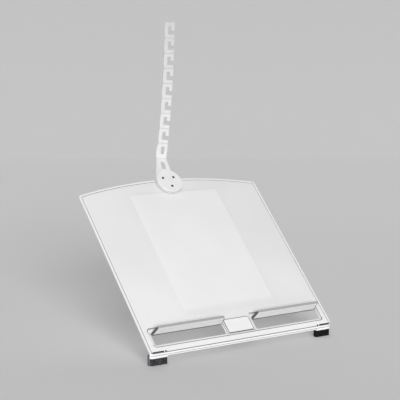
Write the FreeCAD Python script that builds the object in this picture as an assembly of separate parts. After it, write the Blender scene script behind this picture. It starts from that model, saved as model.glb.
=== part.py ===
import FreeCAD, Part
import math
import os

# Sloping document holder: an opal panel on two rubber feet, hung from a notched strap.
# Two ledges fold up out of the panel's front openings, and a shallow drawer for A4 or
# letter paper slides out sideways behind the panel.
#
# Three frames are used, all in millimetres:
#   panel frame  X right, Y up the slope from the front crease, Z out of the panel's face
#   desk frame   X right, Y to the back, Z up, with its origin at the middle of the crease
#   part frame   the desk frame moved so that its origin is the seat of the top strap notch

# Panel
panel_width = 450.0
drawer_front = 76.8          # crease to the drawer's front side, along the slope
drawer_length = 302.0        # along the slope, long enough for A4
drawer_back_margin = 9.2     # drawer to the level of the panel's top corners
panel_slope = drawer_front + drawer_length + drawer_back_margin  # crease to the top corners
arc_rise = 26.0              # the top edge bows this far above its corners
sheet_thick = 2.4
tilt = 45.0                  # degrees from the desk
top_corner_radius = 7.5
front_corner_radius = 9.0
edge_round = 0.8
rim_width = 4.6
rim_groove_width = 0.9
rim_groove_depth = 0.6
wall_thick = 4.0             # upright front wall under the crease
wall_height = 7.6
corner_wall_height = 10.0
wall_bead_height = 2.6
wall_bead_step = 0.5

# Ledges, their openings and their hinge pins
ledge_height = 23.3          # stands this far out of the panel's face
ledge_thick = 5.2
ledge_taper = 2.5            # each end leans in by this much at the top
ledge_groove = 0.5
ledge_groove_height = 14.0
grip_thick = 1.0             # soft edging over the ledge's ends and top
grip_start = 0.5
grip_round = 0.7
opening_inner = 37.6         # middle of the panel to the near end of each opening
opening_side_margin = 20.1   # far end of each opening to the panel's side
opening_front = 16.8         # crease to the openings' front edge
opening_radius = 2.5
inner_end_gap = 1.9          # ledge to the near end of its opening
outer_end_gap = 4.4
ledge_tip_gap = 0.5          # folded ledge to the opening's front edge
ledge_back_gap = 0.3
pocket_depth = 0.8           # shallow pocket round each opening
pocket_margin = 3.4
pocket_back_margin = 8.3
pocket_radius = 6.0
pin_radius = 1.1
pin_fit = 0.05               # radial clearance in the panel
pin_seat = 0.02              # radial clearance in the ledge
pin_grip = 7.0               # length held at each end of a pin
pin_boss_radius = 4.2
pin_boss_roof = 0.4          # boss starts this far under the pocket's floor
pin_end_gap = 0.5

# Blank badge plate between the openings
badge_width = 61.8
badge_height = 31.4
badge_thick = 1.0
badge_sunk = 0.7
badge_radius = 4.2
badge_gap = 0.3
badge_front_margin = 1.0

# Rubber feet at the front corners
foot_width = 39.4
foot_depth = 10.8
foot_rise = -3.5             # top of the rubber behind the front wall
foot_height = 14.2
foot_side_inset = 1.0
foot_front_inset = 1.2
foot_corner_radius = 8.0
foot_round = 1.6
foot_gap = 0.2
tongue_start = 6.5           # side of the panel to the foot's long tongue
tongue_length = 26.0
tongue_split = 2.6
short_tongue_length = 3.6
tongue_thick = 1.8
tongue_skin = 0.6            # wall left in front of the tongues
tongue_gap = 0.1
tongue_root = 0.6            # tongues run this far down into the foot's block
tongue_sunk = 0.3            # tongues end this far under the face

# Hub that clamps the strap's ring
hub_inset = 11.0             # top of the panel's arc down to the hub's axis
hub_radius = 31.5            # strap's ring
base_radius = 27.5
cap_radius = 30.5
cap_thick = 3.3
cap_chamfer = 0.8
base_thick = 3.4
boss_radius = 20.0
ring_fit = 0.06              # radial running clearance of the ring on its boss
ring_gap = 0.1
washer_thick = 0.5
washer_margin = 2.0
ear_radius = 27.0            # panel's own lobe behind the hub
back_plate_radius = 19.4
back_plate_thick = 1.6
screw_circle_radius = 15.5
screw_count = 3
screw_radius = 1.5
screw_hole_gap = 0.1
screw_head_radius = 2.75
screw_head_height = 2.0
screw_head_gap = 0.3
screw_head_sunk = 0.4
screw_socket_radius = 1.25
screw_socket_depth = 1.2
screw_end = 0.6              # screw shows this far past its nut
nut_flats = 5.5
nut_thick = 2.4

# Strap
strap_thick = 2.4
strap_width = 24.2
strap_pitch = 32.7           # from one crease to the next
notch_count = 8
top_bar = 8.6
spine_width = 8.6
cavity_width = 7.8           # pocket behind each hanging lip
notch_floor = 7.5            # crease up to the notch's floor
mouth_height = 9.3
cavity_height = 17.9         # notch's floor to the top of the cavity
notch_radius = 1.5
scallop = 1.4
end_radius = 1.5
crease_depth = 0.4
oval_width = 8.2
oval_length = 17.5
oval_place = 17.2            # fold up to the middle of the upper oval
oval_shift = 1.0             # its middle to the right of the strap's middle line
oval_bulge_left = 13.7       # the strap's middle line to its edges beside the upper oval
oval_bulge_right = 12.4
neck_length = 66.3           # hub's axis to the fold
waist_width = 23.6
flare_left = 17.5            # neck's left half beside the lower oval
neck_right_foot = 13.6       # neck's right half where it meets the ring
neck_oval_width = 9.4
neck_oval_length = 22.0
neck_oval_place = 45.0       # hub's axis to the middle of the lower oval
neck_oval_turn = 5.0         # degrees that it leans to the right
neck_oval_shift = -1.2       # its middle to the right of the neck's middle line
flare_end_angle = 30.0       # degrees round the ring where the left flare runs out
fold_gap = 0.03              # half of the slit at the fold
swivel_rest = 8.8            # degrees the strap is turned to the right at rest
fold_rest = 47.7             # degrees the strap is folded forward at rest
strap_bow = 5.8              # degrees that the notched length bends sideways

# Drawer behind the panel, its pull and its runners
drawer_width = 223.0
drawer_depth = 23.0
drawer_wall = 1.8
drawer_radius = 6.0
drawer_offset = 8.5          # middle of the drawer to the right of the panel's middle
drawer_travel = 190.0
flange_width = 2.2
flange_thick = 1.6
flange_drop = 1.1            # panel's back to the flange's top
runner_gap = 0.3
runner_web = 1.6
runner_lip = 1.5
runner_end_wall = 2.4
runner_margin = 3.0          # panel's side to the runners' right end
stop_height = 0.6
stop_length = 3.0
stop_catch = 0.75
stop_gap = 0.2
pull_length = 25.0
pull_reach = 12.0
pull_thick = 8.0
pull_offset = -13.0          # middle of the drawer's end to the middle of the pull
pull_drop = 11.0             # panel's back to the pull's top face
pull_dish_radius = 16.0
pull_dish_depth = 1.8
pull_screw_radius = 1.3
pull_screw_head_radius = 2.4
pull_screw_head_height = 1.2
pull_screw_spacing = 14.0
pull_screw_grip = 6.0

# Worked out from the values above
half_width = panel_width / 2
arc_radius = (half_width**2 + arc_rise**2) / (2 * arc_rise)
arc_middle = panel_slope + arc_rise - arc_radius
hub_up = panel_slope + arc_rise - hub_inset
hinge_depth = ledge_thick / 2
ledge_reach = ledge_height + hinge_depth
hinge_up = opening_front + ledge_tip_gap + ledge_reach
opening_back = hinge_up + ledge_thick / 2 + ledge_back_gap
ledge_inner = opening_inner + inner_end_gap
opening_outer = half_width - opening_side_margin
ledge_outer = opening_outer - outer_end_gap
ring_bottom = base_thick + ring_gap
ring_top = ring_bottom + strap_thick
boss_top = ring_top + ring_gap + washer_thick
cap_top = boss_top + cap_thick
strap_length = strap_pitch * notch_count + notch_floor + cavity_height + top_bar
bow_radius = strap_pitch * notch_count / math.radians(strap_bow)
cavity_left = spine_width - strap_width / 2
drawer_left = drawer_offset - drawer_width / 2
drawer_right = drawer_left + drawer_width
drawer_back = drawer_front + drawer_length
drawer_top = -sheet_thick - flange_drop
runner_right = half_width - runner_margin


def vec(x, y, z):
    return FreeCAD.Vector(x, y, z)


X_AXIS = vec(1, 0, 0)
Z_AXIS = vec(0, 0, 1)
START = vec(0, 0, 0)


def block(low, high):
    """A box between two opposite corners."""
    size = vec(*high) - vec(*low)
    return Part.makeBox(size.x, size.y, size.z, vec(*low))


def rounded_block(low, high, radius):
    """A box whose four edges along Z are rounded."""
    shape = block(low, high)
    return round_edges(shape, radius, lambda edge: along(edge, Z_AXIS))


def along(edge, axis):
    """Whether a straight edge runs along the axis."""
    if edge.Curve.TypeId != "Part::GeomLine":
        return False
    return abs(abs(edge.tangentAt(edge.FirstParameter).dot(axis)) - 1) < 1e-6


def round_edges(shape, radius, wanted):
    """Fillet the edges that the test picks out."""
    return shape.makeFillet(radius, [edge for edge in shape.Edges if wanted(edge)])


def rod(radius, start, end):
    """A round bar from one point to another."""
    path = end - start
    return Part.makeCylinder(radius, path.Length, start, path)


def polygon_prism(corners, sweep):
    """A closed outline of straight edges, swept along a vector."""
    wire = Part.makePolygon(corners + corners[:1])
    return Part.Face(wire).extrude(sweep)


def join(first, *others):
    return first.fuse(list(others)).removeSplitter()


def mirrored(shape):
    """The same piece on the other side of the panel's middle."""
    return shape.mirror(START, X_AXIS)


def to_desk(shape):
    """From the panel frame to the desk frame."""
    return shape.transformed(TILTED.toMatrix())


TILTED = FreeCAD.Placement(START, FreeCAD.Rotation(X_AXIS, tilt))
SWIVELLED = FreeCAD.Placement(vec(0, hub_up, 0), FreeCAD.Rotation(Z_AXIS, -swivel_rest))
FOLDED = FreeCAD.Placement(vec(0, neck_length, ring_top), FreeCAD.Rotation(X_AXIS, fold_rest))


# Panel

def sheet_outline(side_inset, front_inset):
    """The panel's outline: straight sides and front, and a bowed top, drawn in by an inset."""
    side = half_width - side_inset
    radius = arc_radius - side_inset
    corner = arc_middle + math.sqrt(radius**2 - side**2)
    left = vec(-side, corner, 0)
    right = vec(side, corner, 0)
    front_left = vec(-side, front_inset, 0)
    front_right = vec(side, front_inset, 0)
    edges = [
        Part.makeLine(front_left, front_right),
        Part.makeLine(front_right, right),
        Part.Arc(right, vec(0, arc_middle + radius, 0), left).toShape(),
        Part.makeLine(left, front_left),
    ]
    return Part.Face(Part.Wire(edges))


def is_top_corner(edge):
    return along(edge, Z_AXIS) and edge.CenterOfMass.y > panel_slope / 2


def sheet():
    """Flat opal sheet with rounded top corners, a soft upper edge and a lobe for the hub."""
    shape = sheet_outline(0, 0).extrude(vec(0, 0, -sheet_thick))
    shape = round_edges(shape, top_corner_radius, is_top_corner)
    shape = round_edges(shape, edge_round, is_open_rim)
    ear = rod(ear_radius, vec(0, hub_up, -sheet_thick), vec(0, hub_up, 0))
    return join(shape, ear)


def is_open_rim(edge):
    """Edges round the sheet's sides and top, above and below, but not at the crease."""
    box = edge.BoundBox
    return box.ZLength < 0.01 and box.YMax > 0.01


def rim_groove():
    """Fine groove that sets the rim apart along both sides and the top."""
    depth = vec(0, 0, -rim_groove_depth)
    outer = sheet_outline(rim_width, -wall_thick).extrude(depth)
    inner = sheet_outline(rim_width + rim_groove_width, -2 * wall_thick).extrude(depth)
    inner_radius = top_corner_radius - rim_width
    outer = round_edges(outer, inner_radius, is_top_corner)
    inner = round_edges(inner, inner_radius, is_top_corner)
    return outer.cut(inner)


def ledge_pocket():
    """Shallow pocket on the right half, with the opening through its floor."""
    low = (opening_inner - pocket_margin, opening_front - pocket_margin, -pocket_depth)
    high = (opening_outer + pocket_margin, opening_back + pocket_back_margin, sheet_thick)
    pocket = rounded_block(low, high, pocket_radius)
    low = (opening_inner, opening_front, -2 * sheet_thick)
    high = (opening_outer, opening_back, sheet_thick)
    return pocket.fuse(rounded_block(low, high, opening_radius))


def pocket_bridge():
    """Strip in front of the badge that joins the two pockets."""
    reach = opening_inner - pocket_margin + pocket_radius
    badge_low = opening_front + badge_front_margin - badge_gap
    low = (-reach, opening_front - pocket_margin, -pocket_depth)
    high = (reach, badge_low - badge_front_margin / 2, sheet_thick)
    return block(low, high)


def badge_recess():
    side = badge_width / 2 + badge_gap
    front = opening_front + badge_front_margin - badge_gap
    low = (-side, front, -badge_sunk)
    high = (side, front + badge_height + 2 * badge_gap, sheet_thick)
    return rounded_block(low, high, badge_radius + badge_gap)


def pin_spans():
    """Where the two hinge pins of the right ledge lie along X."""
    inner = (opening_inner - pin_grip, ledge_inner + pin_grip)
    outer = (ledge_outer - pin_grip, opening_outer + pin_grip)
    return inner, outer


def pin_bosses():
    """Half-round bosses on the panel's back that take the pins' ends."""
    end = pin_grip + 2 * pin_end_gap
    roof = -pocket_depth - pin_boss_roof
    spans = ((opening_inner - end, opening_inner), (opening_outer, opening_outer + end))
    bosses = []
    for start, stop in spans:
        bar = rod(pin_boss_radius, vec(start, hinge_up, -hinge_depth), vec(stop, hinge_up, -hinge_depth))
        low = (start, hinge_up - pin_boss_radius, -hinge_depth - pin_boss_radius)
        high = (stop, hinge_up + pin_boss_radius, roof)
        bosses.append(bar.common(block(low, high)))
    return bosses


def pin_bores():
    """Blind holes in the panel for the right ledge's pins."""
    (inner, _), (_, outer) = pin_spans()
    spans = ((inner - pin_end_gap, opening_inner), (opening_outer, outer + pin_end_gap))
    radius = pin_radius + pin_fit
    axis_end = lambda x: vec(x, hinge_up, -hinge_depth)
    return [rod(radius, axis_end(start), axis_end(stop)) for start, stop in spans]


def screw_places():
    """Middles of the hub's screws in the panel frame, the odd one pointing down the slope."""
    step = 360 / screw_count
    angles = [math.radians(-90 + step * n) for n in range(screw_count)]
    reach = screw_circle_radius
    return [vec(reach * math.cos(a), hub_up + reach * math.sin(a), 0) for a in angles]


def screw_holes(bottom, top):
    radius = screw_radius + screw_hole_gap
    return [rod(radius, spot + vec(0, 0, bottom), spot + vec(0, 0, top)) for spot in screw_places()]


def front_wall():
    """Upright wall under the crease, deeper over the feet, with a stepped lower bead."""
    rad = math.radians(tilt)
    buried = (wall_thick * math.sin(rad) - sheet_thick / 2) / math.cos(rad)

    def wall(left, right, height):
        profile = [(0, 0), (0, -height), (wall_thick, -height), (wall_thick, buried)]
        corners = [vec(left, y, z) for y, z in profile]
        return polygon_prism(corners, vec(right - left, 0, 0))

    inner = half_width - foot_width - foot_side_inset
    middle = wall(-half_width, half_width, wall_height)
    step_low = (-inner, -wall_bead_step, -2 * wall_height)
    step_high = (inner, wall_bead_step, wall_bead_height - wall_height)
    middle = middle.cut(block(step_low, step_high))
    right = wall(inner, half_width, corner_wall_height)
    return [middle, right, mirrored(right)]


def corner_cutter():
    """What rounds the right front corner off, seen from above."""
    radius = front_corner_radius
    bottom = -2 * corner_wall_height
    top = 2 * radius
    low = (half_width - radius, -radius, bottom)
    square = block(low, (half_width + radius, radius, top))
    middle = vec(half_width - radius, radius, bottom)
    return square.cut(rod(radius, middle, vec(middle.x, middle.y, top)))


def tongue_spans():
    """Where the right foot's two tongues lie along X."""
    long_outer = half_width - tongue_start
    long_inner = long_outer - tongue_length
    short_outer = long_inner - tongue_split
    return (long_inner, long_outer), (short_outer - short_tongue_length, short_outer)


def tongues(gap, bottom, rise):
    """Upright plates through the front wall; with a gap they are the slots for them."""
    near = tongue_skin - gap
    far = tongue_skin + tongue_thick + gap
    slope = math.tan(math.radians(tilt))
    plates = []
    for start, stop in tongue_spans():
        profile = [(near, bottom), (far, bottom), (far, far * slope + rise), (near, near * slope + rise)]
        corners = [vec(start - gap, y, z) for y, z in profile]
        plates.append(polygon_prism(corners, vec(stop - start + 2 * gap, 0, 0)))
    return plates


def panel():
    """Opal panel: sheet, rim, pockets, openings, hinge bosses and front wall in one moulding."""
    bosses = pin_bosses()
    shape = join(sheet(), *bosses, *[mirrored(boss) for boss in bosses])
    pocket = ledge_pocket()
    bores = pin_bores()
    cuts = [rim_groove(), pocket, mirrored(pocket), pocket_bridge(), badge_recess()]
    cuts += bores + [mirrored(bore) for bore in bores]
    cuts += screw_holes(-2 * sheet_thick, sheet_thick)
    shape = join(to_desk(shape.cut(cuts)), *front_wall())
    slots = tongues(tongue_gap, -2 * corner_wall_height, corner_wall_height)
    cutter = corner_cutter()
    cuts = slots + [mirrored(slot) for slot in slots]
    return shape.cut(cuts + [cutter, mirrored(cutter)])


def badge_plate():
    """Blank plate let into the panel between the ledges."""
    front = opening_front + badge_front_margin
    low = (-badge_width / 2, front, -badge_sunk)
    high = (badge_width / 2, front + badge_height, badge_thick - badge_sunk)
    return to_desk(rounded_block(low, high, badge_radius))


# Ledges

def ledge_face(inset, bottom):
    """The ledge's tapered outline on the right half, drawn in by an inset, as a full-depth prism."""
    back = hinge_up + ledge_thick / 2
    top = ledge_height - inset
    corners = [
        vec(ledge_inner + inset, back, bottom),
        vec(ledge_inner + ledge_taper + inset, back, top),
        vec(ledge_outer - ledge_taper - inset, back, top),
        vec(ledge_outer - inset, back, bottom),
    ]
    return polygon_prism(corners, vec(0, -ledge_thick, 0))


def ledge():
    """White flap with a round hinge barrel, a bore in each end and a fine line along its face."""
    front = hinge_up - ledge_thick / 2
    low = (ledge_inner, front, -hinge_depth)
    root = block(low, (ledge_outer, front + ledge_thick, grip_start))
    axis_start = vec(ledge_inner, hinge_up, -hinge_depth)
    axis_end = vec(ledge_outer, hinge_up, -hinge_depth)
    barrel = rod(ledge_thick / 2, axis_start, axis_end)
    shape = join(root, barrel, ledge_face(grip_thick, grip_start))
    cuts = [
        rod(pin_radius + pin_seat, vec(start, hinge_up, -hinge_depth), vec(stop, hinge_up, -hinge_depth))
        for start, stop in pin_spans()
    ]
    end = ledge_taper + grip_thick
    low = (ledge_inner + end, front - ledge_groove, ledge_groove_height)
    high = (ledge_outer - end, front + ledge_groove / 2, ledge_groove_height + ledge_groove)
    return shape.cut(cuts + [block(low, high)])


def ledge_grip():
    """Soft edging in one piece, up one end of the ledge, along its top and down the other."""
    outer = ledge_face(0, grip_start)
    outer = round_edges(outer, grip_round, lambda edge: edge.BoundBox.ZMin > ledge_height - 0.01)
    return outer.cut(ledge_face(grip_thick, grip_start))


def ledge_pins():
    """Two steel pins that carry the right ledge."""
    return [rod(pin_radius, vec(start, hinge_up, -hinge_depth), vec(stop, hinge_up, -hinge_depth))
            for start, stop in pin_spans()]


# Feet

def foot():
    """Right rubber foot: a block under the front wall and up behind it, with two tongues."""
    bottom = -corner_wall_height - foot_height
    behind = wall_thick + foot_gap
    inner = half_width - foot_width - foot_side_inset
    outer = half_width - foot_side_inset
    profile = [
        (foot_front_inset, bottom),
        (foot_depth, bottom),
        (foot_depth, foot_rise),
        (behind, foot_rise),
        (behind, -corner_wall_height),
        (foot_front_inset, -corner_wall_height),
    ]
    shape = polygon_prism([vec(inner, y, z) for y, z in profile], vec(outer - inner, 0, 0))
    plan_low = (inner, foot_front_inset, bottom)
    plan_high = (outer, foot_depth, foot_depth)
    plan = block(plan_low, plan_high)
    front = foot_front_inset + foot_round
    is_outer_front = lambda edge: edge.BoundBox.XMin > outer - 0.01 and edge.BoundBox.YMax < front
    plan = round_edges(plan, foot_corner_radius, lambda edge: along(edge, Z_AXIS) and is_outer_front(edge))
    is_inner = lambda edge: along(edge, Z_AXIS) and edge.BoundBox.XMax < inner + 0.01
    plan = round_edges(plan, foot_round, is_inner)
    shape = shape.common(plan)
    return join(shape, *tongues(0, -corner_wall_height - tongue_root, -tongue_sunk))


# Hub

def disc(radius, bottom, top):
    return rod(radius, vec(0, hub_up, bottom), vec(0, hub_up, top))


def hub_base():
    """Disc on the panel's face with the boss that the strap's ring turns on."""
    shape = join(disc(base_radius, 0, base_thick), disc(boss_radius, 0, boss_top))
    return shape.cut(screw_holes(0, boss_top))


def hub_washer():
    """Thin slip washer between the ring and the cap."""
    outer = disc(cap_radius - washer_margin, boss_top - washer_thick, boss_top)
    return outer.cut(disc(boss_radius + ring_fit, 0, cap_top))


def hub_cap():
    """Round cap, chamfered at its edge, with three sunk screw seats."""
    shape = disc(cap_radius, boss_top, cap_top)
    rim = [edge for edge in shape.Edges if edge.BoundBox.ZMin > cap_top - 0.01]
    shape = shape.makeChamfer(cap_chamfer, rim)
    seat_radius = screw_head_radius + screw_head_gap
    seat_floor = cap_top - screw_head_sunk - screw_head_height
    seats = [rod(seat_radius, spot + vec(0, 0, seat_floor), spot + vec(0, 0, cap_top + cap_thick))
             for spot in screw_places()]
    return shape.cut(seats + screw_holes(0, cap_top))


def hub_screws():
    """Socket-head screws through the cap, the boss, the panel and the plate behind it."""
    head_top = cap_top - screw_head_sunk
    seat = head_top - screw_head_height
    end = -sheet_thick - back_plate_thick - nut_thick - screw_end
    screws = []
    for spot in screw_places():
        head = rod(screw_head_radius, spot + vec(0, 0, seat), spot + vec(0, 0, head_top))
        shank = rod(screw_radius, spot + vec(0, 0, end), spot + vec(0, 0, seat))
        socket_start = spot + vec(0, 0, head_top - screw_socket_depth)
        socket = hexagon(2 * screw_socket_radius, socket_start, screw_socket_depth + screw_head_sunk)
        screws.append(join(head, shank).cut(socket))
    return screws


def hexagon(flats, start, height):
    """A hexagonal bar standing on a point, with the given width across its flats."""
    reach = flats / math.sqrt(3)
    angles = [math.radians(60 * n) for n in range(6)]
    corners = [start + vec(reach * math.cos(a), reach * math.sin(a), 0) for a in angles]
    return polygon_prism(corners, vec(0, 0, height))


def hub_nuts():
    top = -sheet_thick - back_plate_thick
    nuts = []
    for spot in screw_places():
        body = hexagon(nut_flats, spot + vec(0, 0, top - nut_thick), nut_thick)
        thread = rod(screw_radius + pin_seat, spot + vec(0, 0, top - nut_thick), spot + vec(0, 0, top))
        nuts.append(body.cut(thread))
    return nuts


def back_plate():
    """Steel plate behind the panel that spreads the nuts' load."""
    bottom = -sheet_thick - back_plate_thick
    return disc(back_plate_radius, bottom, -sheet_thick).cut(screw_holes(bottom, 0))


# Strap

def swivelled(shape):
    """From the strap's own frame, hub at its origin and neck along Y, to the desk frame."""
    return shape.transformed((TILTED * SWIVELLED).toMatrix())


def folded(shape):
    """From the notched length's own frame, fold at its origin, to the desk frame."""
    return shape.transformed((TILTED * SWIVELLED * FOLDED).toMatrix())


def oval(width, length, middle, bottom, top, turn=0):
    """Long round-ended hole along Y, turned clockwise about its own middle point."""
    low = (-width / 2, -length / 2, bottom)
    high = (width / 2, length / 2, top)
    hole = rounded_block(low, high, width / 2 - 0.01)
    hole.rotate(START, Z_AXIS, -turn)
    hole.translate(middle)
    return hole


def neck_outline():
    """The neck from the ring to the fold: straight on the right, flaring into the ring on the left."""
    angle = math.radians(flare_end_angle)
    waist = waist_width / 2
    tip = neck_length - fold_gap
    flare_end = vec(-hub_radius * math.cos(angle), hub_radius * math.sin(angle), 0)
    corners = [flare_end, START, vec(neck_right_foot, 0, 0), vec(neck_right_foot, hub_radius, 0)]
    corners += [vec(waist, tip, 0), vec(-waist, tip, 0)]
    edges = [Part.makeLine(start, end) for start, end in zip(corners, corners[1:])]
    edges.append(Part.Arc(corners[-1], vec(-flare_left, neck_oval_place, 0), flare_end).toShape())
    return Part.Face(Part.Wire(edges))


def strap_root():
    """Ring on the hub's boss with the flared neck and its long hole."""
    ring = Part.makeCylinder(hub_radius, strap_thick, vec(0, 0, ring_bottom))
    neck = neck_outline().extrude(vec(0, 0, strap_thick))
    neck.translate(vec(0, 0, ring_bottom))
    bore = Part.makeCylinder(boss_radius + ring_fit, cap_top)
    middle = vec(neck_oval_shift, neck_oval_place, 0)
    hole = oval(neck_oval_width, neck_oval_length, middle, 0, cap_top, neck_oval_turn)
    return swivelled(join(ring, neck).cut([bore, hole]))


def bowed(across, up):
    """A point of the straight strap, moved to where the sideways bow puts it."""
    turn = up / bow_radius
    reach = bow_radius + across
    return vec(reach * math.cos(turn) - bow_radius, reach * math.sin(turn), 0)


def bowed_place(up):
    """The place and turn of the strap's middle line at a height above the fold."""
    angle = math.degrees(up / bow_radius)
    return FreeCAD.Placement(bowed(0, up), FreeCAD.Rotation(Z_AXIS, angle))


def bowed_arc(start, middle, end):
    return Part.Arc(bowed(*start), bowed(*middle), bowed(*end)).toShape()


def strap_outline():
    """Outer edge of the notched length: swollen at the oval, scalloped along the spine."""
    side = strap_width / 2
    waist = waist_width / 2
    first = strap_pitch
    edges = [bowed_arc((waist, fold_gap), (oval_bulge_right, oval_place), (side, first))]
    middle = (first + strap_length) / 2
    edges.append(bowed_arc((side, first), (side, middle), (side, strap_length)))
    edges.append(Part.makeLine(bowed(side, strap_length), bowed(scallop - side, strap_length)))
    last = strap_pitch * notch_count
    top_middle = (last + strap_length) / 2
    edges.append(bowed_arc((scallop - side, strap_length), (-side, top_middle), (scallop - side, last)))
    for n in range(notch_count - 1, 0, -1):
        high = strap_pitch * (n + 1)
        low = strap_pitch * n
        edges.append(bowed_arc((scallop - side, high), (-side, (low + high) / 2), (scallop - side, low)))
    edges.append(bowed_arc((scallop - side, first), (-oval_bulge_left, oval_place), (-waist, fold_gap)))
    edges.append(Part.makeLine(bowed(-waist, fold_gap), bowed(waist, fold_gap)))
    return Part.Face(Part.Wire(edges))


def notch_cutter():
    """One hook-shaped notch: a mouth open to the right and a cavity up behind the lip."""
    cavity_right = cavity_left + cavity_width
    mouth_top = notch_floor + mouth_height
    cavity_top = notch_floor + cavity_height
    path = [
        (cavity_left, notch_floor),
        (strap_width, notch_floor),
        (strap_width, mouth_top),
        (cavity_right, mouth_top),
        (cavity_right, cavity_top),
        (cavity_left, cavity_top),
    ]
    shape = polygon_prism([vec(x, y, -2 * strap_thick) for x, y in path], vec(0, 0, 4 * strap_thick))
    is_inside = lambda edge: along(edge, Z_AXIS) and edge.BoundBox.XMax < strap_width - 1
    return round_edges(shape, notch_radius, is_inside)


def crease_cutter():
    """Shallow V across the strap's face where it is meant to flex."""
    corners = [
        vec(-strap_width, -crease_depth, crease_depth / 2),
        vec(-strap_width, crease_depth, crease_depth / 2),
        vec(-strap_width, 0, -crease_depth),
    ]
    return polygon_prism(corners, vec(2 * strap_width, 0, 0))


def strap():
    """Notched length of the strap, from the fold to its top end."""
    shape = strap_outline().extrude(vec(0, 0, -strap_thick))
    top = bowed(0, strap_length).y - end_radius
    shape = round_edges(shape, end_radius, lambda edge: along(edge, Z_AXIS) and edge.CenterOfMass.y > top)
    notch = notch_cutter()
    crease = crease_cutter()
    middle = vec(oval_shift, oval_place, 0)
    cuts = [oval(oval_width, oval_length, middle, -2 * strap_thick, strap_thick)]
    for n in range(1, notch_count + 1):
        place = bowed_place(strap_pitch * n).toMatrix()
        cuts += [notch.transformed(place), crease.transformed(place)]
    return folded(shape.cut(cuts))


def hook_seat():
    """Middle of a peg seated in the top notch, in the desk frame."""
    up = notch_floor + cavity_height - cavity_width / 2
    seat = bowed_place(strap_pitch * notch_count).multVec(vec(cavity_left + cavity_width / 2, up, 0))
    seat.z = -strap_thick / 2
    return (TILTED * SWIVELLED * FOLDED).multVec(seat)


# Drawer

def drawer_tray():
    """Open tray with a flange along its front and back sides and a stop at each flange's end."""
    bottom = drawer_top - drawer_depth
    outer = rounded_block(
        (drawer_left, drawer_front, bottom), (drawer_right, drawer_back, drawer_top), drawer_radius
    )
    inner = rounded_block(
        (drawer_left + drawer_wall, drawer_front + drawer_wall, bottom + drawer_wall),
        (drawer_right - drawer_wall, drawer_back - drawer_wall, drawer_top + drawer_wall),
        drawer_radius - drawer_wall,
    )
    under = drawer_top - flange_thick
    ribs = []
    for low, high in (
        (drawer_front - flange_width, drawer_front + drawer_wall),
        (drawer_back - drawer_wall, drawer_back + flange_width),
    ):
        ribs.append(block((drawer_left, low, under), (drawer_right, high, drawer_top)))
    corner_trim = outer.cut(inner)
    stops = []
    for low in (drawer_front - flange_width, drawer_back):
        stop_low = (drawer_left, low, drawer_top - flange_thick / 2)
        stop_high = (drawer_left + stop_length, low + flange_width, drawer_top + stop_height)
        stops.append(block(stop_low, stop_high))
    screw = pull_screw_radius + screw_hole_gap
    holes = [rod(screw, spot - vec(pull_screw_grip, 0, 0), spot + vec(pull_screw_grip, 0, 0))
             for spot in pull_screw_places()]
    return to_desk(join(corner_trim, *ribs, *stops).cut(holes))


def pull_screw_places():
    """Where the pull's two screws pass the drawer's right side."""
    middle = (drawer_front + drawer_back) / 2 + pull_offset
    height = -sheet_thick - pull_drop - pull_thick / 2
    return [vec(drawer_right, middle + side * pull_screw_spacing / 2, height) for side in (-1, 1)]


def drawer_pull():
    """Round-nosed finger pull, dished on its upper face."""
    middle = (drawer_front + drawer_back) / 2 + pull_offset
    top = -sheet_thick - pull_drop
    low = (drawer_right, middle - pull_length / 2, top - pull_thick)
    high = (drawer_right + pull_reach, middle + pull_length / 2, top)
    shape = block(low, high)
    nose = drawer_right + pull_reach - 0.01
    nose_radius = 0.7 * pull_reach
    shape = round_edges(shape, nose_radius, lambda edge: along(edge, Z_AXIS) and edge.BoundBox.XMin > nose)
    dish_height = top + pull_dish_radius - pull_dish_depth
    dish_start = vec(drawer_right, middle, dish_height)
    dish = rod(pull_dish_radius, dish_start, dish_start + vec(pull_reach, 0, 0))
    holes = [rod(pull_screw_radius + pin_seat, spot, spot + vec(pull_screw_grip, 0, 0))
             for spot in pull_screw_places()]
    return shape.cut([dish] + holes)


def pull_screws():
    """Pan-head screws from inside the drawer into the pull."""
    screws = []
    for spot in pull_screw_places():
        inside = spot - vec(drawer_wall, 0, 0)
        head = rod(pull_screw_head_radius, inside - vec(pull_screw_head_height, 0, 0), inside)
        shank = rod(pull_screw_radius, inside, spot + vec(pull_screw_grip - pin_end_gap, 0, 0))
        screws.append(join(head, shank))
    return screws


def runner(edge, outward):
    """C-shaped runner along one side of the drawer; outward is +1 for the upper one."""
    start = drawer_left - runner_gap - runner_end_wall
    lip_top = drawer_top - flange_thick - runner_gap
    lip_bottom = lip_top - runner_lip
    web = edge + outward * (flange_width + runner_gap)
    web_back = web + outward * runner_web
    lip_edge = edge + outward * runner_gap

    def bar(first, second, left, right, bottom, top):
        low = min(first, second)
        high = max(first, second)
        return block((left, low, bottom), (right, high, top))

    pieces = [
        bar(web, web_back, start, runner_right, lip_bottom, -sheet_thick),
        bar(lip_edge, web, start, runner_right, lip_bottom, lip_top),
        bar(lip_edge, web, start, start + runner_end_wall, lip_bottom, -sheet_thick),
    ]
    catch = drawer_left + stop_length + drawer_travel + stop_gap
    catch_edge = edge + outward * runner_gap
    pieces.append(bar(catch_edge, web, catch, catch + stop_length, -sheet_thick - stop_catch, -sheet_thick))
    return to_desk(join(*pieces))


def export(node, shape):
    """Write one node in the part frame."""
    moved = shape.copy()
    moved.translate(-hook_seat())
    moved.exportStep(os.path.join("parts", node + ".step"))


def on_panel(shapes):
    """Like pieces of one node, moved from the panel frame to the desk frame."""
    return Part.makeCompound([to_desk(shape) for shape in shapes])


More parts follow.
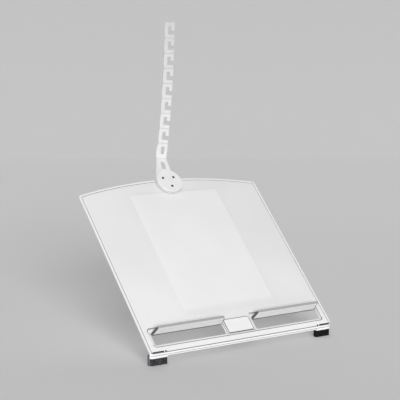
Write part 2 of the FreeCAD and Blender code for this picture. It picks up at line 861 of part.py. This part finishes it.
def main():
    os.makedirs("parts", exist_ok=True)
    export("panel", panel())
    export("badge_plate", badge_plate())
    flap = to_desk(ledge())
    grip = to_desk(ledge_grip())
    pins = on_panel(ledge_pins())
    export("ledge_right", flap)
    export("ledge_left", mirrored(flap))
    export("ledge_grip_right", grip)
    export("ledge_grip_left", mirrored(grip))
    export("ledge_pins_right", pins)
    export("ledge_pins_left", mirrored(pins))
    right_foot = foot()
    export("foot_right", right_foot)
    export("foot_left", mirrored(right_foot))
    export("hub_base", to_desk(hub_base()))
    export("hub_washer", to_desk(hub_washer()))
    export("hub_cap", to_desk(hub_cap()))
    export("hub_screws", on_panel(hub_screws()))
    export("hub_nuts", on_panel(hub_nuts()))
    export("hub_back_plate", to_desk(back_plate()))
    export("strap_root", strap_root())
    export("strap", strap())
    export("drawer_tray", drawer_tray())
    export("drawer_pull", to_desk(drawer_pull()))
    export("drawer_pull_screws", on_panel(pull_screws()))
    export("runner_upper", runner(drawer_back, 1))
    export("runner_lower", runner(drawer_front, -1))


main()
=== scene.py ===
import bpy
import math
from mathutils import Matrix, Vector


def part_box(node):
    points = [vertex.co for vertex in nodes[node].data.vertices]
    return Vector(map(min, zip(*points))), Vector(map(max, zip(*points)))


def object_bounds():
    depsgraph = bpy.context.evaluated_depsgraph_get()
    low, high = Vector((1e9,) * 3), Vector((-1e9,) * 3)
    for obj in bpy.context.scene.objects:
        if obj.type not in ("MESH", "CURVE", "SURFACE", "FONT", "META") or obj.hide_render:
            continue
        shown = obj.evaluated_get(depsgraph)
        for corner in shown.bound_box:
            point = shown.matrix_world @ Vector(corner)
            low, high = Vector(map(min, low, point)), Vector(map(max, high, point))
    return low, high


# Sloping document holder in opal acrylic. It leans at 45 degrees on two rubber feet and hangs
# from a notched polypropylene strap. Two ledges fold up out of its front openings, and a
# shallow drawer slides out sideways behind the sheet. All lengths are metres.
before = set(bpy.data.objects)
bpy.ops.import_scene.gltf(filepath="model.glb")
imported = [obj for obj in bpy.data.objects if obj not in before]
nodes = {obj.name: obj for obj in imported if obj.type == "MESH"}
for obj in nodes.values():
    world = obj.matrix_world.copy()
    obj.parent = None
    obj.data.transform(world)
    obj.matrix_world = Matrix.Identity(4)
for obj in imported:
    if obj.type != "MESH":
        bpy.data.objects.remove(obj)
cad_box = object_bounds()

# Opal panel
# One injection moulding in opal acrylic: the 2.4 mm sheet, its raised rim, the shallow pockets
# round the openings and the front wall. The drawer behind it shows as a soft brighter field, which is
# painted light.

MM = 0.001
panel_tilt = math.radians(45)
panel_width = 450 * MM
panel_slope = 388 * MM
arc_rise = 26 * MM
rim_width = 4.6 * MM
rail_depth = 13.0 * MM
groove_floor = 0.6 * MM
pocket_front = 13.4 * MM
pocket_back = 54.4 * MM
pocket_side = 208.3 * MM
pocket_corner = 6 * MM
plate_half = (30.9 * MM, 15.7 * MM)
plate_middle = 33.5 * MM
plate_corner = 4.2 * MM
crease_height = 24.2 * MM
panel_low, panel_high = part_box("panel")
crease = Vector(((panel_low.x + panel_high.x) / 2, panel_low.y, cad_box[0].z + crease_height))


def colour(hex_code):
    """An sRGB colour such as "F2F2F0" as the linear one that a shader socket takes."""
    channels = [int(hex_code[i:i + 2], 16) / 255 for i in (0, 2, 4)]
    linear = [c / 12.92 if c <= 0.04045 else ((c + 0.055) / 1.055) ** 2.4 for c in channels]
    return (*linear, 1.0)


def add(material, kind, sockets=None, **settings):
    """Adds a node with its settings, and sets or links its sockets, by name or by number."""
    node = material.node_tree.nodes.new("ShaderNode" + kind)
    for name, value in settings.items():
        setattr(node, name, value)
    for name, value in (sockets or {}).items():
        if isinstance(value, bpy.types.NodeSocket):
            material.node_tree.links.new(value, node.inputs[name])
        else:
            node.inputs[name].default_value = value
    return node


def new_finish(name):
    """An empty node material, with its surface shader and the part's own coordinates."""
    material = bpy.data.materials.new(name)
    material.use_nodes = True
    surface = material.node_tree.nodes["Principled BSDF"]
    place = add(material, "TexCoord").outputs["Object"]
    return material, surface, place


def finish_with(material, *names):
    """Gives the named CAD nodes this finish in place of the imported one."""
    for name in names:
        nodes[name].data.materials.clear()
        nodes[name].data.materials.append(material)


def seen_from_crease(material, place):
    """Coordinates on the sloping sheet: X across it, Y up it and Z out of it, from the crease."""
    return add(material, "Mapping", {
        "Vector": place,
        "Location": crease,
        "Rotation": (panel_tilt, 0, 0),
    }, vector_type="TEXTURE").outputs["Vector"]


def product(material, *factors):
    """All the factors multiplied together."""
    total = factors[0]
    for factor in factors[1:]:
        total = add(material, "Math", {0: total, 1: factor}, operation="MULTIPLY").outputs[0]
    return total


def within(material, value, low, high):
    """1 where value lies between two limits given in millimetres, and 0 elsewhere."""
    above = add(material, "Math", {0: value, 1: low * MM}, operation="GREATER_THAN").outputs[0]
    below = add(material, "Math", {0: value, 1: high * MM}, operation="LESS_THAN").outputs[0]
    return product(material, above, below)


def past_edge(material, across, up, middle, half, radius):
    """How far a point lies outside a rounded rectangle on the sheet. It is negative inside."""
    point = add(material, "CombineXYZ", {"X": across, "Y": up}).outputs[0]
    offset = add(material, "VectorMath", {0: point, 1: (0, middle, 0)}, operation="SUBTRACT").outputs[0]
    offset = add(material, "VectorMath", {0: offset}, operation="ABSOLUTE").outputs[0]
    core = (half[0] - radius, half[1] - radius, 0)
    offset = add(material, "VectorMath", {0: offset, 1: core}, operation="SUBTRACT").outputs[0]
    offset = add(material, "VectorMath", {0: offset, 1: (0, 0, 0)}, operation="MAXIMUM").outputs[0]
    past_core = add(material, "VectorMath", {0: offset}, operation="LENGTH").outputs["Value"]
    return add(material, "Math", {0: past_core, 1: radius}, operation="SUBTRACT").outputs[0]


def over(material, factor, under, top):
    """The under colour, with the top one where factor is 1."""
    return add(material, "Mix", {"Factor": factor, 6: under, 7: top}, data_type="RGBA").outputs[2]


def clouded(material, place, size, light, dark):
    """A slow drift between two close colours, as wide as size, such as flow in a moulding."""
    drift = add(material, "TexNoise", {"Vector": place, "Scale": 1 / size, "Detail": 2.0})
    ramp = add(material, "ValToRGB", {"Fac": drift.outputs["Fac"]})
    ramp.color_ramp.elements[0].position = 0.35
    ramp.color_ramp.elements[0].color = colour(dark)
    ramp.color_ramp.elements[1].position = 0.65
    ramp.color_ramp.elements[1].color = colour(light)
    return ramp.outputs["Color"]


def grained(material, surface, place, size, depth):
    """A fine moulded or ground grain of that size, as bump."""
    grain = add(material, "TexNoise", {"Vector": place, "Scale": 1 / size, "Detail": 3.0})
    bump = add(material, "Bump", {"Height": grain.outputs["Fac"], "Distance": depth, "Strength": 0.6})
    material.node_tree.links.new(bump.outputs["Normal"], surface.inputs["Normal"])


def shaded_corners(material, base_tone, size, dark):
    """The base colour, going over to a dark one as painted shade where faces meet within that distance.
    """
    openness = add(material, "AmbientOcclusion", {"Distance": size}, samples=16).outputs["AO"]
    openness = add(material, "MapRange", {"Value": openness, "From Min": 0.55, "From Max": 0.96})
    return over(material, openness.outputs["Result"], colour(dark), base_tone)


# Opal acrylic (PMMA), injection moulded with a fine spark-eroded face. It scatters most of the
# light and lets a third through, so that edges behind it blur. The grain is drawn at 1.5 mm,
# because the real 0.3 mm is too fine to show.
opal, opal_surface, place = new_finish("opal_acrylic_moulded")
on_sheet = seen_from_crease(opal, place)
from_crease = add(opal, "SeparateXYZ", {"Vector": on_sheet}).outputs


def compare(operation, value, limit):
    """1 where value is on that side of limit on the sheet, and 0 elsewhere."""
    return add(opal, "Math", {0: value, 1: limit}, operation=operation).outputs[0]


# The solid rim and the front rail are whiter than the sheet inside them, which takes a grey
# from what lies behind it.
arc_radius = ((panel_width / 2) ** 2 + arc_rise ** 2) / (2 * arc_rise)
arc_middle = (0, panel_slope + arc_rise - arc_radius, 0)
flat = add(opal, "CombineXYZ", {"X": from_crease["X"], "Y": from_crease["Y"]}).outputs[0]
reach = add(opal, "VectorMath", {0: flat, 1: arc_middle}, operation="DISTANCE").outputs["Value"]
off_middle = add(opal, "Math", {0: from_crease["X"]}, operation="ABSOLUTE").outputs[0]
at_side = compare("GREATER_THAN", off_middle, panel_width / 2 - rim_width)
at_top = compare("GREATER_THAN", reach, arc_radius - rim_width)
at_front = compare("LESS_THAN", from_crease["Y"], rail_depth)
rim = add(opal, "Math", {0: at_side, 1: at_top}, operation="MAXIMUM").outputs[0]
rim = add(opal, "Math", {0: rim, 1: at_front}, operation="MAXIMUM").outputs[0]
sheet_grey = clouded(opal, on_sheet, 160 * MM, "E9E9E9", "E4E4E5")
drawer_glow_tone = clouded(opal, on_sheet, 160 * MM, "F3F3F3", "F0F0F0")

# The sheet's colour is painted a little brighter where the white inside of the drawer lies right behind
# it, as painted light that the drawer sends back; it stays when the drawer slides out. The near side
# and the left of that field are soft, because the drawer's walls stand there. Each side fades in
# between two places, given in millimetres.
field_sides = (("X", -110, -104), ("X", 115, 113), ("Y", 72, 94), ("Y", 378, 376))
drawer_glow = None
for axis, outside, full in field_sides:
    fade = add(opal, "MapRange", {
        "Value": from_crease[axis],
        "From Min": outside * MM,
        "From Max": full * MM,
    }, interpolation_type="SMOOTHSTEP").outputs["Result"]
    drawer_glow = fade if drawer_glow is None else product(opal, drawer_glow, fade)
sheet_grey = over(opal, drawer_glow, sheet_grey, drawer_glow_tone)

# The sheet's colour is painted a little darker towards its top right, as painted light falloff: by
# these shares per metre.
falloff_per_metre = (-0.155, -0.27, 0)
at_crease = 1.065
drift = add(opal, "VectorMath", {0: on_sheet, 1: falloff_per_metre}, operation="DOT_PRODUCT").outputs["Value"]
painted_falloff = add(opal, "Math", {0: drift, 1: at_crease}, operation="ADD").outputs[0]
sheet_grey = add(opal, "VectorMath", {0: sheet_grey, "Scale": painted_falloff}, operation="SCALE").outputs[0]
body_colour = over(opal, rim, sheet_grey, colour("F1F1F1"))

# A thin grey line of painted shade lies in the moulded steps and in the groove inside the rim.
below_face = compare("LESS_THAN", from_crease["Z"], -0.1 * MM)
above_floor = compare("GREATER_THAN", from_crease["Z"], -groove_floor - 0.05 * MM)
not_edge = compare("LESS_THAN", off_middle, panel_width / 2 - 0.6 * rim_width)
not_arc = compare("LESS_THAN", reach, arc_radius - 0.6 * rim_width)
groove_shade = product(opal, below_face, above_floor, not_edge, not_arc)
tone = over(opal, groove_shade, body_colour, colour("4E4858"))

# The same painted shade lies at the lip of the step round both pockets, along the crease, and above
# the bead on the front wall.
pocket_middle = (pocket_front + pocket_back) / 2
pocket_half = (pocket_side, (pocket_back - pocket_front) / 2)
across, up = from_crease["X"], from_crease["Y"]
past_pocket = past_edge(opal, across, up, pocket_middle, pocket_half, pocket_corner)
on_face = within(opal, from_crease["Z"], -0.1, 9)
over_plate = product(opal, within(opal, off_middle, -1, 36), within(opal, up, 30, 90))
elsewhere = add(opal, "Math", {0: 1.0, 1: over_plate}, operation="SUBTRACT").outputs[0]
along_end = within(opal, up, 19, 46)
strength = add(opal, "MapRange", {"Value": along_end, "To Min": 1.0, "To Max": 0.2}).outputs["Result"]
step_shade = product(opal, on_face, elsewhere, strength, within(opal, past_pocket, 0.3, 1.5))
tone = over(opal, step_shade, tone, colour("706A78"))
section = add(opal, "CombineXYZ", {"Y": up, "Z": from_crease["Z"]}).outputs[0]
from_corner = add(opal, "VectorMath", {0: section}, operation="LENGTH").outputs["Value"]
tone = over(opal, within(opal, from_corner, -1, 0.8), tone, colour("7A7682"))
bead_shade = product(opal, within(opal, from_corner, 4.5, 5.4), within(opal, up, -6, -2))
tone = over(opal, bead_shade, tone, colour("86828E"))
# Painted shade also rings the plate's recess on the panel.
past_recess = past_edge(opal, across, up, plate_middle, plate_half, plate_corner)
plate_gap_shade = product(opal, on_face, within(opal, past_recess, -1, 0.7))
tone = over(opal, plate_gap_shade, tone, colour("6A6672"))
tone = shaded_corners(opal, tone, 1.6 * MM, "55505C")
opal.node_tree.links.new(tone, opal_surface.inputs["Base Color"])
opal_surface.inputs["Roughness"].default_value = 0.34
opal_surface.inputs["IOR"].default_value = 1.49
see_through = add(opal, "MapRange", {"Value": rim, "To Min": 0.6, "To Max": 0.0}).outputs["Result"]
opal.node_tree.links.new(see_through, opal_surface.inputs["Subsurface Weight"])
opal_surface.inputs["Subsurface Radius"].default_value = (1, 1, 1)
opal_surface.inputs["Subsurface Scale"].default_value = 4 * MM
grained(opal, opal_surface, place, 1.5 * MM, 0.02 * MM)
finish_with(opal, "panel")

# Blank plate
# A small plate let into the panel between the ledges, bare on its face.

# White acrylic, polished, so it is a little brighter and glossier than the opal round it.
plate_white, plate_surface, place = new_finish("white_acrylic_polished")
plate_colour = clouded(plate_white, place, 40 * MM, "F6F6F6", "F2F2F2")
on_plate = add(plate_white, "SeparateXYZ", {"Vector": seen_from_crease(plate_white, place)}).outputs
past_plate = past_edge(
    plate_white, on_plate["X"], on_plate["Y"], plate_middle, plate_half, plate_corner
)
# A thin grey outline of painted shade runs round the plate's edge.
plate_edge_shade = within(plate_white, past_plate, -0.8, 1)
plate_colour = over(plate_white, plate_edge_shade, plate_colour, colour("808086"))
plate_colour = shaded_corners(plate_white, plate_colour, 1.2 * MM, "6A6A70")
plate_white.node_tree.links.new(plate_colour, plate_surface.inputs["Base Color"])
plate_surface.inputs["Roughness"].default_value = 0.18
plate_surface.inputs["IOR"].default_value = 1.49
grained(plate_white, plate_surface, place, 3 * MM, 0.01 * MM)
finish_with(plate_white, "badge_plate")

# Ledges
# Two white flaps, moulded, that turn on steel pins in the panel. A soft grey edging runs up
# each end and along the top, so that a book or a sheet doesn't slip.

# White ABS, moulded, satin: a faint drift of colour from the flow along each flap.
ledge_abs, ledge_surface, place = new_finish("white_abs_satin")
ledge_colour = clouded(ledge_abs, place, 60 * MM, "F2F2F3", "ECECED")
height = add(ledge_abs, "SeparateXYZ", {"Vector": seen_from_crease(ledge_abs, place)}).outputs["Z"]
# The hinge barrel below the flap's face is painted dark grey, as painted shade.
barrel_shade = within(ledge_abs, height, -90, 0.3)
ledge_colour = over(ledge_abs, barrel_shade, ledge_colour, colour("67676B"))
ledge_colour = shaded_corners(ledge_abs, ledge_colour, 1.2 * MM, "B4B4B8")
ledge_abs.node_tree.links.new(ledge_colour, ledge_surface.inputs["Base Color"])
ledge_surface.inputs["Roughness"].default_value = 0.38
ledge_surface.inputs["IOR"].default_value = 1.53
grained(ledge_abs, ledge_surface, place, 0.8 * MM, 0.012 * MM)
finish_with(ledge_abs, "ledge_left", "ledge_right")

# Grey thermoplastic rubber, overmoulded and matt. Its top band is painted light grey as painted light
# from above, and its ends dark as painted shade.
grip_tpe, grip_surface, place = new_finish("grey_soft_rubber")
ledge_up = add(grip_tpe, "SeparateXYZ", {"Vector": seen_from_crease(grip_tpe, place)}).outputs["Z"]
lit_top_band = within(grip_tpe, ledge_up, 21.8, 90)
shaded_ends = clouded(grip_tpe, place, 9 * MM, "58595B", "4B4C4E")
grip_colour = over(grip_tpe, lit_top_band, shaded_ends, colour("A8A9AB"))
grip_tpe.node_tree.links.new(grip_colour, grip_surface.inputs["Base Color"])
grip_surface.inputs["Roughness"].default_value = 0.62
grip_surface.inputs["IOR"].default_value = 1.5
grip_surface.inputs["Sheen Weight"].default_value = 0.15
grained(grip_tpe, grip_surface, place, 0.5 * MM, 0.03 * MM)
finish_with(grip_tpe, "ledge_grip_left", "ledge_grip_right")

# Stainless steel, ground: fine rings round each pin, drawn at 0.4 mm.
pin_steel, pin_surface, place = new_finish("stainless_steel_ground")
rings = add(pin_steel, "TexWave", {"Vector": place, "Scale": 0.3 / (0.4 * MM), "Distortion": 0.6})
rough = add(pin_steel, "MapRange", {"Value": rings.outputs["Fac"], "To Min": 0.22, "To Max": 0.34})
pin_steel.node_tree.links.new(rough.outputs["Result"], pin_surface.inputs["Roughness"])
pin_surface.inputs["Base Color"].default_value = colour("C9CACC")
pin_surface.inputs["Metallic"].default_value = 1.0
finish_with(pin_steel, "ledge_pins_left", "ledge_pins_right")

# Feet
# Black rubber blocks under the front corners, pushed up through the wall by two tongues each.

# Nitrile rubber, moulded and matt. The left foot is painted lighter than the right one as painted
# light, most of all on its outer end, which lies between two places given in millimetres.
left_foot_end = (-230, -222.4)
for side, base_tone, lighter_tone in (("left", "29282A", "434245"), ("right", "070708", "101012")):
    foot_rubber, foot_surface, place = new_finish("black_nitrile_rubber_" + side)
    rubber = clouded(foot_rubber, place, 7 * MM, lighter_tone, base_tone)
    on_foot = add(foot_rubber, "SeparateXYZ", {"Vector": seen_from_crease(foot_rubber, place)}).outputs
    lit_outer_end = within(foot_rubber, on_foot["X"], *left_foot_end)
    rubber = over(foot_rubber, lit_outer_end, rubber, colour("6E6C70"))
    foot_rubber.node_tree.links.new(rubber, foot_surface.inputs["Base Color"])
    foot_surface.inputs["Roughness"].default_value = 0.75
    foot_surface.inputs["IOR"].default_value = 1.52
    foot_surface.inputs["Specular IOR Level"].default_value = 0.2
    grained(foot_rubber, foot_surface, place, 0.6 * MM, 0.05 * MM)
    finish_with(foot_rubber, "foot_" + side)

# Hub
# The strap's ring turns on a boss between a base disc and a cap. Three black screws hold the
# stack to the panel, with a steel plate and nuts behind.

# White acetal (POM), moulded: dense and waxy, with a soft gloss.
hub_white, hub_surface, place = new_finish("white_acetal_waxy")
hub_colour = clouded(hub_white, place, 25 * MM, "ECECEB", "E7E7E8")
hub_colour = shaded_corners(hub_white, hub_colour, 1.2 * MM, "CACACE")
hub_white.node_tree.links.new(hub_colour, hub_surface.inputs["Base Color"])
hub_surface.inputs["Roughness"].default_value = 0.3
hub_surface.inputs["IOR"].default_value = 1.48
grained(hub_white, hub_surface, place, 0.9 * MM, 0.01 * MM)
finish_with(hub_white, "hub_base", "hub_cap", "hub_washer")

# Black-oxide steel: a thin dull coat that turns brown-grey where the key has rubbed it.
black_oxide, screw_surface, place = new_finish("black_oxide_steel")
rub = add(black_oxide, "TexNoise", {"Vector": place, "Scale": 1 / (1.2 * MM), "Detail": 4.0})
rubbed = add(black_oxide, "ValToRGB", {"Fac": rub.outputs["Fac"]})
rubbed.color_ramp.elements[0].position = 0.5
rubbed.color_ramp.elements[0].color = colour("0E0E0F")
rubbed.color_ramp.elements[1].position = 0.8
rubbed.color_ramp.elements[1].color = colour("2C2A28")
black_oxide.node_tree.links.new(rubbed.outputs["Color"], screw_surface.inputs["Base Color"])
screw_surface.inputs["Metallic"].default_value = 0.1
screw_surface.inputs["Roughness"].default_value = 0.6
screw_surface.inputs["Specular IOR Level"].default_value = 0.25
finish_with(black_oxide, "hub_screws")

# Zinc-plated steel: cool grey with the faint blotches of passivated zinc.
zinc, zinc_surface, place = new_finish("zinc_plated_steel")
blotch = add(zinc, "TexVoronoi", {"Vector": place, "Scale": 1 / (4 * MM), "Randomness": 1.0})
shade = add(zinc, "MapRange", {"Value": blotch.outputs["Distance"], "To Min": 0.28, "To Max": 0.42})
zinc.node_tree.links.new(shade.outputs["Result"], zinc_surface.inputs["Roughness"])
zinc_surface.inputs["Base Color"].default_value = colour("BFC3C8")
zinc_surface.inputs["Metallic"].default_value = 1.0
finish_with(zinc, "hub_back_plate", "hub_nuts", "drawer_pull_screws")

# Strap
# One long polypropylene moulding with eight hook notches, scalloped at each pitch, that bends
# at its waist. Its root is the ring and neck that the hub holds.

# Natural-white polypropylene: slightly see-through at its thin edges, with a waxy sheen. Its colour
# runs whiter down to the root and greyer up towards the free end, where the hook's seat is height 0.
strap_pp, strap_surface, place = new_finish("white_polypropylene")
strap_colour = clouded(strap_pp, place, 35 * MM, "D1D1D1", "CDCDCE")
white_per_metre = -0.95
from_seat = add(strap_pp, "SeparateXYZ", {"Vector": place}).outputs["Z"]
whiter = add(strap_pp, "Math", {0: from_seat, 1: white_per_metre, 2: 1.0}, operation="MULTIPLY_ADD")
strap_colour = add(strap_pp, "VectorMath", {
    0: strap_colour,
    "Scale": whiter.outputs[0],
}, operation="SCALE").outputs["Vector"]
strap_colour = shaded_corners(strap_pp, strap_colour, 1.0 * MM, "8A8A90")
strap_pp.node_tree.links.new(strap_colour, strap_surface.inputs["Base Color"])
strap_surface.inputs["Roughness"].default_value = 0.36
strap_surface.inputs["IOR"].default_value = 1.49
strap_surface.inputs["Subsurface Weight"].default_value = 0.25
strap_surface.inputs["Subsurface Radius"].default_value = (1, 1, 1)
strap_surface.inputs["Subsurface Scale"].default_value = 1.5 * MM
grained(strap_pp, strap_surface, place, 0.7 * MM, 0.012 * MM)
finish_with(strap_pp, "strap_root", "strap")

# Drawer and runners
# A shallow tray with a flange on each long side, hung in two channel runners under the sheet.
# A round-nosed pull is screwed to its right-hand wall.

# High-impact polystyrene, moulded: plain white with a satin face.
tray_white, tray_surface, place = new_finish("white_polystyrene_satin")
tray_colour = clouded(tray_white, place, 70 * MM, "F4F4F3", "EEEEED")
tray_white.node_tree.links.new(tray_colour, tray_surface.inputs["Base Color"])
tray_surface.inputs["Roughness"].default_value = 0.42
tray_surface.inputs["IOR"].default_value = 1.59
grained(tray_white, tray_surface, place, 0.8 * MM, 0.012 * MM)
finish_with(tray_white, "drawer_tray", "drawer_pull", "runner_upper", "runner_lower")

# Floor and backdrop
# A seamless cove in pale grey: flat under the feet, and curved up far behind the object.

floor_level = cad_box[0].z
cove_half = 9.0
cove_front = -8.0
cove_back = 4.0
cove_radius = 2.0
cove_top = 5.0
cove_steps = 32
cove_turn = math.radians(-34)

profile = [(cove_front, floor_level), (cove_back, floor_level)]
for n in range(1, cove_steps + 1):
    angle = math.radians(90 * n / cove_steps)
    past_bend = cove_radius * math.sin(angle)
    risen = cove_radius * (1 - math.cos(angle))
    profile.append((cove_back + past_bend, floor_level + risen))
profile.append((cove_back + cove_radius, floor_level + cove_top))
corners = [(x, y, z) for y, z in profile for x in (-cove_half, cove_half)]
faces = [(2 * n, 2 * n + 1, 2 * n + 3, 2 * n + 2) for n in range(len(profile) - 1)]
cove_mesh = bpy.data.meshes.new("cove")
cove_mesh.from_pydata(corners, [], faces)
cove_mesh.shade_smooth()
cove = bpy.data.objects.new("cove", cove_mesh)
cove.rotation_euler.z = cove_turn
bpy.context.scene.collection.objects.link(cove)

# Matt painted board, without any gloss that would mirror the lamps. The camera sees it darker
# where it stands up towards the low lamp in front, and where light gathers before the bend, so
# that the backdrop comes out even.
cove_paint, cove_surface, place = new_finish("pale_matt_paint")
extra_on_wall = 0.72
extra_at_bend = 0.12
gathers_from = 1.5
evened_level = 0.93
facing = add(cove_paint, "NewGeometry").outputs["Normal"]
leaning = add(cove_paint, "VectorMath", {0: facing, 1: (1, 1, 0)}, operation="MULTIPLY").outputs[0]
steepness = add(cove_paint, "VectorMath", {0: leaning}, operation="LENGTH").outputs["Value"]
light = add(cove_paint, "Math", {
    0: steepness,
    1: extra_on_wall,
    2: 1.0,
}, operation="MULTIPLY_ADD").outputs[0]
gathered = add(cove_paint, "MapRange", {
    "Value": add(cove_paint, "SeparateXYZ", {"Vector": place}).outputs["Y"],
    "From Min": gathers_from,
    "From Max": cove_back,
    "To Max": extra_at_bend,
}, interpolation_type="SMOOTHSTEP").outputs["Result"]
light = add(cove_paint, "Math", {0: light, 1: gathered}, operation="ADD").outputs[0]
evening = add(cove_paint, "Math", {0: evened_level, 1: light}, operation="DIVIDE").outputs[0]
paint = colour("EFEFEF")
evened = add(cove_paint, "VectorMath", {0: paint[:3], "Scale": evening}, operation="SCALE").outputs[0]
seen = add(cove_paint, "LightPath").outputs["Is Camera Ray"]
paint = over(cove_paint, seen, paint, evened)
cove_paint.node_tree.links.new(paint, cove_surface.inputs["Base Color"])
cove_surface.inputs["Roughness"].default_value = 0.9
cove_surface.inputs["Specular IOR Level"].default_value = 0.1
cove_mesh.materials.append(cove_paint)

# Studio light
# Three wide soft lamps, far off so that they light evenly: one high at the left, one low in
# front that reaches under the ledges, and a weak one behind. A pale surround fills the rest.


def far_lamp(name, towards, energy, spread):
    """A soft lamp that shines from that direction, as wide as spread degrees."""
    lamp = bpy.data.lights.new(name, "SUN")
    lamp.energy = energy
    lamp.angle = math.radians(spread)
    holder = bpy.data.objects.new(name, lamp)
    holder.rotation_mode = "QUATERNION"
    holder.rotation_quaternion = (-Vector(towards)).to_track_quat("-Z", "Y")
    bpy.context.scene.collection.objects.link(holder)


far_lamp("wide_key", (-0.7, -0.9, 1.2), 0.5, 40)
far_lamp("low_front", (-1.5, -3.8, 1.03), 2.1, 24)
far_lamp("weak_back", (0.9, 1.2, 0.7), 0.6, 50)

# The camera sees the surround as pale as the floor, and the object is lit by less of it.
fill_light = 0.3
seen_level = 0.615
surround = bpy.data.worlds.new("pale_surround")
surround.use_nodes = True
backing = surround.node_tree.nodes["Background"]
backing.inputs["Color"].default_value = colour("F4F4F4")
to_camera = surround.node_tree.nodes.new("ShaderNodeLightPath").outputs["Is Camera Ray"]
brightness = surround.node_tree.nodes.new("ShaderNodeMapRange")
brightness.inputs["To Min"].default_value = fill_light
brightness.inputs["To Max"].default_value = seen_level
surround.node_tree.links.new(to_camera, brightness.inputs["Value"])
surround.node_tree.links.new(brightness.outputs["Result"], backing.inputs["Strength"])
bpy.context.scene.world = surround

# Camera
# A long lens, a little above the object's middle and well round to its left.

camera_right = Vector((0.82516, -0.56490, 0.00104))
camera_up = Vector((0.07146, 0.10622, 0.99178))
camera_place = Vector((-1.40285, -2.16603, -0.04170))
lens = bpy.data.cameras.new("camera")
lens.sensor_width = 36
lens.lens = 106.29
lens.clip_end = 40
camera = bpy.data.objects.new("camera", lens)
turn = Matrix((camera_right, camera_up, camera_right.cross(camera_up))).transposed()
camera.matrix_world = Matrix.Translation(camera_place) @ turn.to_4x4()
bpy.context.scene.collection.objects.link(camera)
bpy.context.scene.camera = camera
bpy.context.scene.view_settings.view_transform = "Standard"
